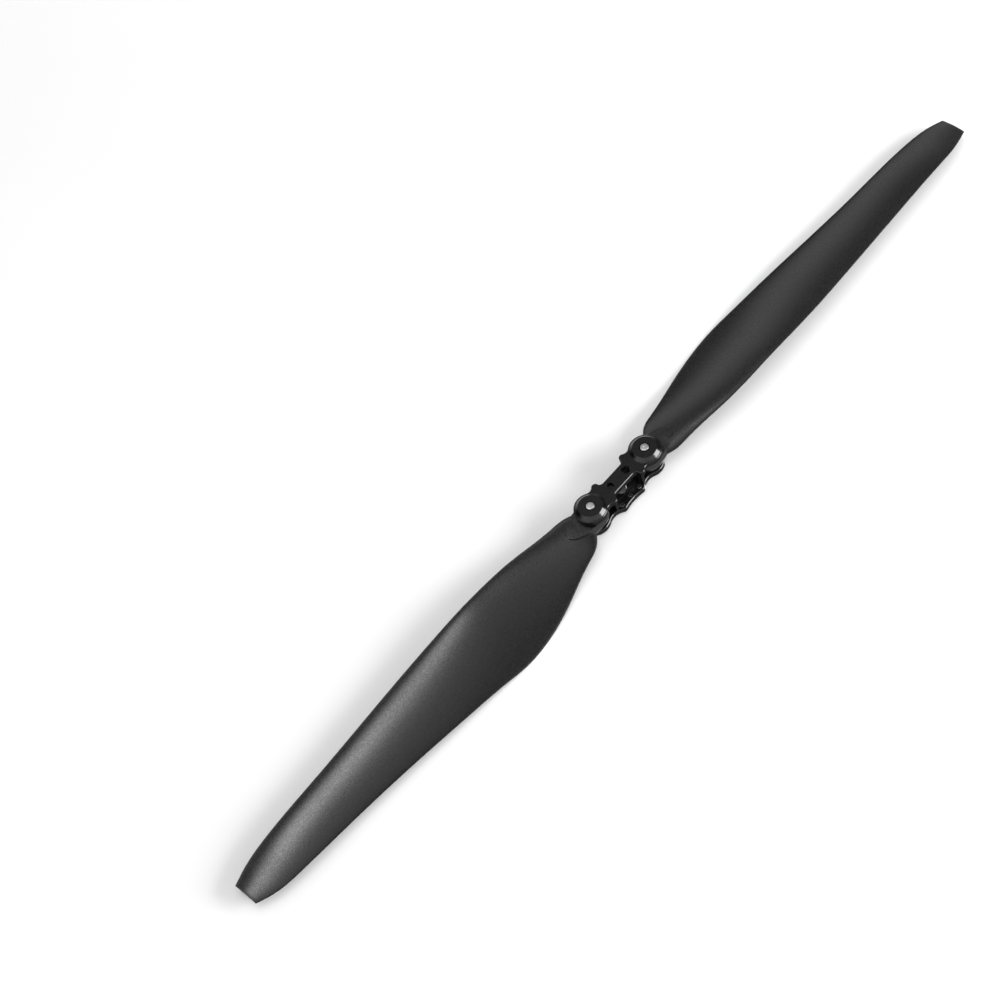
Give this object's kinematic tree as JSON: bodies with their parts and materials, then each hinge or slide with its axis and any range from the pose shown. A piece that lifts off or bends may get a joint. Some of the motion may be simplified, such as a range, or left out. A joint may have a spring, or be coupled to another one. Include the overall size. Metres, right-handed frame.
{
  "type": "folding two-blade propeller",
  "caption": "Folding two-blade drone propeller: dark polymer blades hinged between a black metal base plate and a bridged cover.",
  "frame": {"origin": "centre of the hub's mounting face, on the rotation axis", "axes": "+Z along the rotation axis towards thrust; +X along the straight blades"},
  "size_m": [0.734, 0.0702, 0.0229],
  "materials": {
    "hub_metal": "black anodised, satin gloss",
    "blade_polymer": "matte dark grey, fine speckle grain of fibre-filled nylon",
    "steel": "bright zinc-plated steel",
    "black_steel": "black oxide",
    "bush_bronze": "turned bronze",
    "washer_plastic": "dark low-friction plastic sheet"
  },
  "bodies": {
    "hub": {"base_plate": "hub_metal", "hub_cover": "hub_metal", "cover_dowels": "steel", "pivot_sleeve_a": "steel", "lower_thrust_washer_a": "washer_plastic", "upper_thrust_washer_a": "washer_plastic", "bolt_washer_a": "black_steel", "pivot_bolt_a": "steel", "pivot_nut_a": "steel", "pivot_sleeve_b": "steel", "lower_thrust_washer_b": "washer_plastic", "upper_thrust_washer_b": "washer_plastic", "bolt_washer_b": "black_steel", "pivot_bolt_b": "steel", "pivot_nut_b": "steel"},
    "blade_a": {"blade_a": "blade_polymer", "blade_bush_a": "bush_bronze"},
    "blade_b": {"blade_b": "blade_polymer", "blade_bush_b": "bush_bronze"}
  },
  "joints": [
    {"name": "fold_a", "type": "hinge", "parent": "hub", "child": "blade_a", "pos_m": [0.028, 0, 0.00925], "axis": [0, 0, 1], "range_deg": [-90, 90]},
    {"name": "fold_b", "type": "hinge", "parent": "hub", "child": "blade_b", "pos_m": [-0.028, 0, 0.00925], "axis": [0, 0, 1], "range_deg": [-90, 90]}
  ]
}
